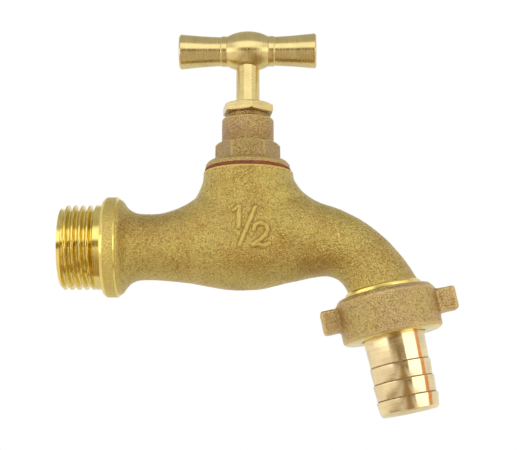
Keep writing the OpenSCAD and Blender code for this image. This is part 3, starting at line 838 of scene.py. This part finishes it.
class HOSEBIB_OT_gland(bpy.types.Operator):
    """Makes the hexagonal gland nut on the bonnet's head"""
    bl_idname = "hosebib.gland"
    bl_label = "Gland nut"

    def execute(self, context):
        low, top, seat = GLAND_LOW.z, GLAND_HIGH.z, BONNET_HIGH.z
        hexagon, flat, corner = seat + 1.1, 5.85, 6.75
        outline = softened([(3.1, low, 0.1), (4.9, low, 0.2), (4.9, hexagon - 0.05, 0.15)], 3)
        outline += [(corner - 1 + 0.2 * i, hexagon + 0.1 * i) for i in range(6)]
        outline += rows(corner, hexagon + 0.6, top - 0.6, 0.2)
        outline += [(corner - 0.9 * i / 5, top - 0.5 + 0.48 * i / 5) for i in range(6)]
        outline += softened([(5.3, top), (3.15, top, 0.15)], 3)
        bm = lathe(outline, 144, closed=True)
        press_hexagon(bm, hexagon - 0.01, top - 0.01, flat, 0.12)
        place = AT_VALVE @ Matrix.Rotation(math.radians(40.5), 4, "Z")
        materials = [turned_brass_upright(), cast_brass_bonnet()]
        piece = finish(bm, "gland_nut_turned", place, materials, "root",
                       ["gland_nut"], crease=20)
        # painted shade: the shank in the gap under the hexagon takes the brown bonnet brass
        for face in piece.data.polygons:
            if face.center.z < (hexagon + 0.3) * MM:
                face.material_index = 1
        return {"FINISHED"}


class HOSEBIB_OT_packing(bpy.types.Operator):
    """Makes the rings in the stuffing box: follower, packing and base ring"""
    bl_idname = "hosebib.packing"
    bl_label = "Stuffing box rings"

    def execute(self, context):
        rings = {"gland_follower": 0.12, "packing_ring_upper": 0.35, "packing_ring_middle": 0.35,
                 "packing_ring_lower": 0.35, "gland_base_ring": 0.12}
        for node, round_edge in rings.items():
            soft = node.startswith("packing")
            low, high = corners(node)
            inner = 2.98 if soft else 3.1
            outer = (high.y - low.y) / 2
            outline = softened([(inner, low.z, round_edge), (outer, low.z, round_edge),
                                (outer, high.z, round_edge), (inner, high.z, round_edge)],
                               closed=True)
            finish(lathe(outline, 72, closed=True), node + "_ring", AT_VALVE,
                   [graphite_packing() if soft else turned_brass_upright()], "root",
                   [node])
        return {"FINISHED"}


# ---- spindle and handle -----------------------------------------------------

class HOSEBIB_OT_spindle(bpy.types.Operator):
    """Makes the threaded spindle and the pin that keeps the valve in it"""
    bl_idname = "hosebib.spindle"
    bl_label = "Spindle"

    def execute(self, context):
        low, top = SPINDLE_LOW.z, SPINDLE_HIGH.z
        thread_low, thread_high, crest = low + 2.2, low + 10.7, 4.58
        stem, bore_top = 2.925, VALVE_HIGH.z + 0.4
        outline = softened([(0, bore_top + 0.5), (2.08, bore_top, 0.2), (2.08, low, 0.2),
                            (4, low, 0.3), (4, low + 1.9, 0.1)])
        outline += rows(crest, thread_low, thread_high, 0.14)
        outline += softened([(crest - 0.5, thread_high + 0.3), (stem, thread_high + 0.35, 0.15),
                             (stem, top, 0.2), (0, top)])
        bm = lathe(outline, 96)
        pitch, depth = sizes().spindle_pitch / MM, sizes().spindle_depth / MM
        cut_thread(bm, thread_low, thread_high, crest, depth, pitch)
        finish(bm, "spindle_turned", AT_VALVE, [turned_brass_upright()], "spindle",
               ["spindle"])
        self.keeper_pin()
        return {"FINISHED"}

    def keeper_pin(self):
        low, high = corners("jumper_pin")
        middle = (low + high) / 2
        length, radius = high.x - low.x, (high.z - low.z) / 2
        outline = softened([(0, -length / 2), (radius, -length / 2, 0.15),
                            (radius, length / 2, 0.15), (0, length / 2)])
        finish(lathe(outline, 32), "keeper_pin", Matrix.Translation(middle) @ AT_INLET,
               [turned_brass_upright()], "spindle", ["jumper_pin"])


class HOSEBIB_OT_handle(bpy.types.Operator):
    """Makes the turned T-handle"""
    bl_idname = "hosebib.handle"
    bl_label = "T-handle"

    def execute(self, context):
        half = (HANDLE_HIGH.x - HANDLE_LOW.x) / 2
        end, arm, collar, boss = 4.42, 3.65, 3.85, 5.09
        boss_half, collar_end = 5.1, 6.8
        side = [(boss * math.sqrt(1 - (boss_half * i / 10 / 7.75) ** 2), boss_half * i / 10)
                for i in range(11)]
        side += softened([(side[-1][0] - 0.02, boss_half + 0.05), (collar - 0.1, boss_half + 0.1),
                          (collar, boss_half + 0.25, 0.1), (collar, collar_end - 0.2, 0.1),
                          (arm, collar_end, 0.08), (arm + 0.25, collar_end + 4.5),
                          (end, half - 0.4, 0.3), (end - 0.35, half - 0.03, 0.25),
                          (0, half)], 3)
        outline = [(radius, -x) for radius, x in reversed(side)] + side[1:]
        finish(lathe(outline, 112), "handle_bar_turned", AT_HANDLE, [turned_brass_handle()],
               "spindle", ["handle_bar"], crease=24)
        return {"FINISHED"}


# ---- valve ------------------------------------------------------------------

class HOSEBIB_OT_valve(bpy.types.Operator):
    """Makes the valve: jumper, seat washer, small plate and washer nut"""
    bl_idname = "hosebib.valve"
    bl_label = "Valve"

    def execute(self, context):
        self.jumper()
        self.flat_ring("seat_washer", 0.3, black_rubber(), "black_rubber")
        self.flat_ring("washer_plate", 0.12, turned_brass_upright(), "turned_brass")
        self.nut()
        return {"FINISHED"}

    def jumper(self):
        plate = corners("seat_washer")[1].z
        plate_top, stud, stem, disc = plate + 1.8, 1.5, 2, 6.4
        pin = (corners("jumper_pin")[0].z + corners("jumper_pin")[1].z) / 2
        outline = softened([(0, VALVE_LOW.z), (stud, VALVE_LOW.z, 0.15), (stud, plate, 0.05),
                            (disc, plate, 0.2), (disc, plate_top, 0.3), (stem, plate_top, 0.15),
                            (stem, pin - 0.8, 0.05), (1.3, pin - 0.8, 0.15),
                            (1.3, pin + 0.8, 0.15), (stem, pin + 0.8, 0.05),
                            (stem, VALVE_HIGH.z, 0.25), (0, VALVE_HIGH.z)], 3)
        finish(lathe(outline, 72), "valve_jumper_turned", AT_VALVE, [turned_brass_upright()],
               "valve", ["valve_jumper"])

    def flat_ring(self, node, round_edge, material, slot_name):
        low, high = corners(node)
        outer = (high.y - low.y) / 2
        outline = softened([(1.56, low.z, 0.05), (outer, low.z, round_edge),
                            (outer, high.z, round_edge), (1.56, high.z, 0.05)], closed=True)
        finish(lathe(outline, 72, closed=True), node + "_ring", AT_VALVE, [material], "valve",
               [node])

    def nut(self):
        low, high = corners("washer_nut")
        flat, corner = 2.5, 2.88
        outline = [(1.56, low.z), (2.45, low.z)]
        outline += [(corner - 0.3 + 0.3 * i / 3, low.z + 0.06 * i) for i in range(4)]
        outline += rows(corner, low.z + 0.4, high.z, 0.3) + [(1.56, high.z)]
        bm = lathe(outline, 96, closed=True)
        press_hexagon(bm, low.z, high.z, flat, 0.08)
        finish(bm, "washer_nut_turned", AT_VALVE, [turned_brass_upright()], "valve",
               ["washer_nut"], crease=20)


# ---- union and hose tail ----------------------------------------------------

# distances down the outlet
NUT_TOP = 1.85
LIP_TOP = 11.15
NUT_END = 12.95
FLANGE_TOP = 9.3
FIRST_BARB = 19.75
BARB_PITCH = 4.1
TAIL_END = 31.65


# the nut's lugs and a rib at one lug's root: ends along X, half width, top and bottom
LUGS = ((9, 16.4, 2.9, 3.6, 9.3), (-16.9, -9, 2.8, 3.8, 9.5), (-12.8, -9, 3.2, 4.2, 9.9))


def add_lugs(bm):
    """Adds the blocks of the lugs to the nut's round body."""
    for left, right, half_width, high, low in LUGS:
        place = (Matrix.Translation(((left + right) / 2, 0, (high + low) / 2))
                 @ Matrix.Diagonal((right - left, 2 * half_width, low - high, 1)))
        box = bmesh.ops.create_cube(bm, size=1, matrix=place)
        edges = {edge for vert in box["verts"] for edge in vert.link_edges}
        bmesh.ops.bevel(bm, geom=list(edges), offset=0.55, segments=3, profile=0.5,
                        affect="EDGES", material=-1)


class HOSEBIB_OT_union_nut(bpy.types.Operator):
    """Makes the cast union nut with its two lugs and its internal thread"""
    bl_idname = "hosebib.union_nut"
    bl_label = "Union nut"

    def execute(self, context):
        bm = lathe(softened([(0, NUT_TOP), (11.3, NUT_TOP, 0.5), (12.3, NUT_TOP + 1.3, 0.7),
                             (12.3, NUT_END - 0.7, 0.3), (11.7, NUT_END), (0, NUT_END)]), 96)
        add_lugs(bm)
        bm = fused(bm, sizes().nut_voxel / MM, 7)
        roughen(bm, 0.06, 0.5, 21)
        bmesh.ops.bisect_plane(bm, geom=bm.verts[:] + bm.edges[:] + bm.faces[:], dist=0.001,
                               plane_co=(0, 0, NUT_END - 0.05), plane_no=(0, 0, 1),
                               clear_outer=True)
        rim = [edge for edge in bm.edges if edge.is_boundary]
        bmesh.ops.triangle_fill(bm, edges=rim, use_beauty=True, normal=(0, 0, 1))
        bm = carved(bm, self.plug())
        piece = finish(bm, "union_nut_casting", AT_OUTLET,
                       [cast_brass_nut(), turned_brass_outlet()], "union_nut",
                       ["union_nut"], crease=40)
        self.mark_turned_faces(piece)
        mark_wear(piece, 3)
        return {"FINISHED"}

    def plug(self):
        """What the nut's bore and its thread leave free."""
        crest, depth, pitch = 9.32, sizes().pipe_depth / MM, sizes().pipe_pitch / MM
        outline = [(0, NUT_TOP - 1), (10.1, NUT_TOP - 1), (9.9, NUT_TOP + 0.3)]
        outline += rows(crest, NUT_TOP + 0.5, LIP_TOP - 1.4, 0.12)
        outline += softened([(10, LIP_TOP - 1.3), (10, LIP_TOP, 0.1), (7.9, LIP_TOP, 0.1),
                             (7.9, NUT_END - 0.2), (8.2, NUT_END + 1), (0, NUT_END + 1)], 3)
        bm = lathe(outline, 120)
        cut_thread(bm, NUT_TOP + 0.4, LIP_TOP - 1.3, crest, depth, pitch, start=0.4, inside=True)
        return bm

    def mark_turned_faces(self, piece):
        """The machined lip and bore are bright, and the outside is as cast."""
        back = (Matrix.Scale(MM, 4) @ AT_OUTLET).inverted()
        for face in piece.data.polygons:
            here = back @ face.center
            if here.z > NUT_END - 0.3 or here.xy.length < 10.6:
                face.material_index = 1


class HOSEBIB_OT_hose_washer(bpy.types.Operator):
    """Makes the rubber washer between the outlet and the hose tail"""
    bl_idname = "hosebib.hose_washer"
    bl_label = "Hose washer"

    def execute(self, context):
        low, high, outer, inner = SEAL_DEPTH - 1, SEAL_DEPTH + 1, 9.45, 6.05
        outline = softened([(inner, low, 0.25), (outer, low, 0.25), (outer, high, 0.25),
                            (inner, high, 0.25)], closed=True)
        finish(lathe(outline, 96, closed=True), "hose_washer_ring", AT_OUTLET, [black_rubber()],
               "hose_seal", ["hose_washer"])
        return {"FINISHED"}


# how far above each barb's step the painted shadow line begins
PAINTED_SHADOW_BAND = 0.3


class HOSEBIB_OT_hose_tail(bpy.types.Operator):
    """Makes the barbed hose tail"""
    bl_idname = "hosebib.hose_tail"
    bl_label = "Hose tail"

    def execute(self, context):
        bore, flange = 4.9, 9.5
        outline = softened([(bore, FLANGE_TOP, 0.3), (flange, FLANGE_TOP, 0.2),
                            (flange, FLANGE_TOP + 1.75, 0.2), (7.35, FLANGE_TOP + 1.8, 0.2),
                            (7.5, NUT_END), (7.17, FIRST_BARB - PAINTED_SHADOW_BAND),
                            (7.13, FIRST_BARB - 0.05, 0.05)], 3)
        for i, top in enumerate((7.45, 7.52, 7.55)):
            start = FIRST_BARB + i * BARB_PITCH
            outline += softened([(top, start + 0.05, 0.1), (top, start + 0.4, 0.15)], 3)
            if i < 2:
                root = start + BARB_PITCH
                outline += [(7.2, root - PAINTED_SHADOW_BAND), (7.13, root - 0.05)]
        outline += softened([(7.15, TAIL_END - 0.6, 0.3), (6.7, TAIL_END, 0.25),
                             (bore + 0.5, TAIL_END, 0.15), (bore, TAIL_END - 0.5)], 3)
        # the second finish is the painted shadow line above each barb's step
        materials = [pale_brass_tail(), cast_brass_tarnished()]
        piece = finish(lathe(outline, 112, closed=True), "hose_tail_turned", AT_OUTLET,
                       materials, "hose_tail", ["hose_tail"], crease=24)
        self.mark_dirty_roots(piece)
        return {"FINISHED"}

    def mark_dirty_roots(self, piece):
        """Paints a thin shadow line above each barb's step, in the darker tarnished brass."""
        back = (Matrix.Scale(MM, 4) @ AT_OUTLET).inverted()
        for face in piece.data.polygons:
            here = back @ face.center
            past = (here.z - FIRST_BARB + PAINTED_SHADOW_BAND) % BARB_PITCH
            outside = here.z > FIRST_BARB - PAINTED_SHADOW_BAND and here.xy.length > 7
            if outside and past < PAINTED_SHADOW_BAND + 0.03:
                face.material_index = 1


# ---- stage ------------------------------------------------------------------

# softboxes: where each stands, its width and height, and how bright it looks
LAMPS = (
    ("softbox_top", (0.04, -0.51, 0.31), (0.80, 0.41), 0.62),
    ("softbox_left", (-0.42, -0.25, 0.03), (0.62, 0.22), 0.98),
    ("softbox_right", (0.52, -0.32, 0.03), (0.60, 0.26), 1.0),
)
# cards that shape what the brass mirrors: lowest and highest corner, and colour
CARDS = (
    ("card_front", (-0.26, -0.62, -0.08), (0.375, -0.62, 0.10), "card"),
    ("card_floor", (-0.04, -0.62, -0.083), (0, 0, -0.083), "floor_card"),
    ("card_barbs", (0.035, -0.62, -0.083), (0.15, -0.02, -0.083), "floor_card"),
    ("card_right", (0.16, -0.35, -0.083), (0.5, 0.2, -0.083), "pale_card"),
    ("card_left", (-0.38, -0.55, -0.083), (-0.045, 0.3, -0.083), "pale_card"),
    ("card_stand", (0.62, -0.12, -0.08), (0.62, 0.07, 0.16), "stand"),
)


class HOSEBIB_OT_stage(bpy.types.Operator):
    """Sets up the floor, the backdrop, the lamps and the camera"""
    bl_idname = "hosebib.stage"
    bl_label = "Stage"

    def execute(self, context):
        scene = context.scene
        scene.view_settings.view_transform = "Standard"
        scene.world = bpy.data.worlds.new("room")
        scene.world.use_nodes = True
        room = scene.world.node_tree.nodes["Background"]
        room.inputs["Color"].default_value = (1, 0.98, 0.94, 1)
        room.inputs["Strength"].default_value = scene.hose_bib_studio.world
        self.camera(scene)
        self.tent()
        for name, place, sides, brightness in LAMPS:
            self.lamp(name, place, sides, brightness)
        for name, low, high, colour in CARDS:
            self.card(name, low, high, getattr(colours(), colour))
        return {"FINISHED"}

    def camera(self, scene):
        studio = scene.hose_bib_studio
        camera = bpy.data.objects.new("camera", bpy.data.cameras.new("camera"))
        scene.collection.objects.link(camera)
        camera.data.lens = studio.lens
        camera.data.clip_start = 0.01
        camera.location = studio.camera_place
        look = Vector(studio.camera_target) - Vector(studio.camera_place)
        camera.rotation_mode = "QUATERNION"
        camera.rotation_quaternion = look.to_track_quat("-Z", "Y")
        scene.camera = camera

    def lamp(self, name, place, sides, brightness):
        """A rectangular soft lamp that faces the tap."""
        data = bpy.data.lights.new(name, "AREA")
        data.shape = "RECTANGLE"
        data.size, data.size_y = sides
        data.energy = brightness * math.pi * sides[0] * sides[1]
        lamp = bpy.data.objects.new(name, data)
        bpy.context.scene.collection.objects.link(lamp)
        lamp.visible_camera = False
        lamp.location = place
        look = Vector((0.04, 0, 0.005)) - Vector(place)
        lamp.rotation_mode = "QUATERNION"
        lamp.rotation_quaternion = look.to_track_quat("-Z", "Y")

    def staged(self, bm, name, material):
        """Makes a piece of the stage from a mesh."""
        for face in bm.faces:
            face.smooth = True
        mesh = bpy.data.meshes.new(name)
        bm.to_mesh(mesh)
        bm.free()
        mesh.materials.append(material)
        piece = bpy.data.objects.new(name, mesh)
        bpy.context.scene.collection.objects.link(piece)
        return piece

    def card(self, name, low, high, colour):
        """A card that only reflections show."""
        low, high = Vector(low), Vector(high)
        bm = bmesh.new()
        start, end = bm.verts.new(low), bm.verts.new((high.x, low.y if low.z == high.z else high.y,
                                                      low.z))
        edge = bm.edges.new((start, end))
        made = bmesh.ops.extrude_edge_only(bm, edges=[edge])
        moved = [item for item in made["geom"] if isinstance(item, bmesh.types.BMVert)]
        across = (0, high.y - low.y, 0) if low.z == high.z else (0, 0, high.z - low.z)
        bmesh.ops.translate(bm, vec=across, verts=moved)
        material = bpy.data.materials.new(name + "_paint")
        material.use_nodes = True
        nodes = material.node_tree.nodes
        nodes.remove(nodes["Principled BSDF"])
        paint = nodes.new("ShaderNodeEmission")
        paint.inputs["Color"].default_value = (*colour, 1)
        material.node_tree.links.new(paint.outputs[0], nodes["Material Output"].inputs["Surface"])
        piece = self.staged(bm, name, material)
        piece.visible_camera = False
        piece.visible_diffuse = False
        piece.visible_transmission = False
        piece.visible_shadow = False

    def tent(self):
        """A round pale floor that curves up into a wall on every side."""
        floor, radius, wall, height = -0.085, 0.3, 1.0, 0.9
        bm = bmesh.new()
        line = [(wall - radius + radius * math.sin(math.radians(a)),
                 floor + radius - radius * math.cos(math.radians(a))) for a in range(0, 91, 10)]
        line = [(0, floor)] + line + [(wall, height)]
        points = [bm.verts.new((r, 0, z)) for r, z in line]
        edges = [bm.edges.new(pair) for pair in zip(points, points[1:])]
        bmesh.ops.spin(bm, geom=points + edges, cent=(0, 0, 0), axis=(0, 0, 1),
                       angle=2 * math.pi, steps=64, use_merge=True)
        bmesh.ops.remove_doubles(bm, verts=bm.verts, dist=0.00001)
        bmesh.ops.recalc_face_normals(bm, faces=bm.faces)
        bmesh.ops.reverse_faces(bm, faces=bm.faces)
        self.staged(bm, "tent", self.tent_material(floor))

    def tent_material(self, floor):
        """Pale paper that shows as plain white to the camera and in the brass."""
        s = Surface("tent_paper")
        s.feed(base_color=(*colours().backdrop, 1), roughness=1.0)
        glow = s.nodes.new("ShaderNodeEmission")
        path = s.nodes.new("ShaderNodeLightPath").outputs
        mirrored = s.math("MAXIMUM", path["Is Glossy Ray"], path["Is Transmission Ray"])
        seen = s.math("MAXIMUM", path["Is Camera Ray"], s.math("MULTIPLY", mirrored, 0.78))
        share = s.math("MULTIPLY", seen, s.between(s.axis("Z"), floor, floor + 0.03, 0.8, 1))
        mix = s.nodes.new("ShaderNodeMixShader")
        s.links.new(share, mix.inputs["Fac"])
        s.links.new(s.shader.outputs[0], mix.inputs[1])
        s.links.new(glow.outputs[0], mix.inputs[2])
        s.links.new(mix.outputs[0], s.nodes["Material Output"].inputs["Surface"])
        return s.material


# ---- the panel and the run --------------------------------------------------

MAKERS = (HOSEBIB_OT_stage, HOSEBIB_OT_body, HOSEBIB_OT_inlet, HOSEBIB_OT_outlet,
          HOSEBIB_OT_bonnet, HOSEBIB_OT_gasket, HOSEBIB_OT_gland, HOSEBIB_OT_packing,
          HOSEBIB_OT_spindle, HOSEBIB_OT_handle, HOSEBIB_OT_valve, HOSEBIB_OT_union_nut,
          HOSEBIB_OT_hose_washer, HOSEBIB_OT_hose_tail)


class HOSEBIB_PT_panel(bpy.types.Panel):
    """Lists the makers and the settings of the hose bib"""
    bl_idname = "HOSEBIB_PT_panel"
    bl_label = "Hose bib"
    bl_space_type = "VIEW_3D"
    bl_region_type = "UI"
    bl_category = "Hose bib"

    def draw(self, context):
        for maker in MAKERS:
            self.layout.operator(maker.bl_idname)
        for group in ("hose_bib_sizes", "hose_bib_colours", "hose_bib_studio"):
            settings = getattr(context.scene, group)
            for key in settings.__annotations__:
                self.layout.prop(settings, key)


CLASSES = (HoseBibSizes, HoseBibColours, HoseBibStudio, *MAKERS, HOSEBIB_PT_panel)


def register():
    for cls in CLASSES:
        bpy.utils.register_class(cls)
    bpy.types.Scene.hose_bib_sizes = bpy.props.PointerProperty(type=HoseBibSizes)
    bpy.types.Scene.hose_bib_colours = bpy.props.PointerProperty(type=HoseBibColours)
    bpy.types.Scene.hose_bib_studio = bpy.props.PointerProperty(type=HoseBibStudio)


def unregister():
    del bpy.types.Scene.hose_bib_studio
    del bpy.types.Scene.hose_bib_colours
    del bpy.types.Scene.hose_bib_sizes
    for cls in reversed(CLASSES):
        bpy.utils.unregister_class(cls)


def main():
    register()
    for maker in MAKERS:
        group, name = maker.bl_idname.split(".")
        if getattr(getattr(bpy.ops, group), name)() != {"FINISHED"}:
            raise RuntimeError(maker.bl_label + " was not made")


if __name__ == "__main__":
    main()
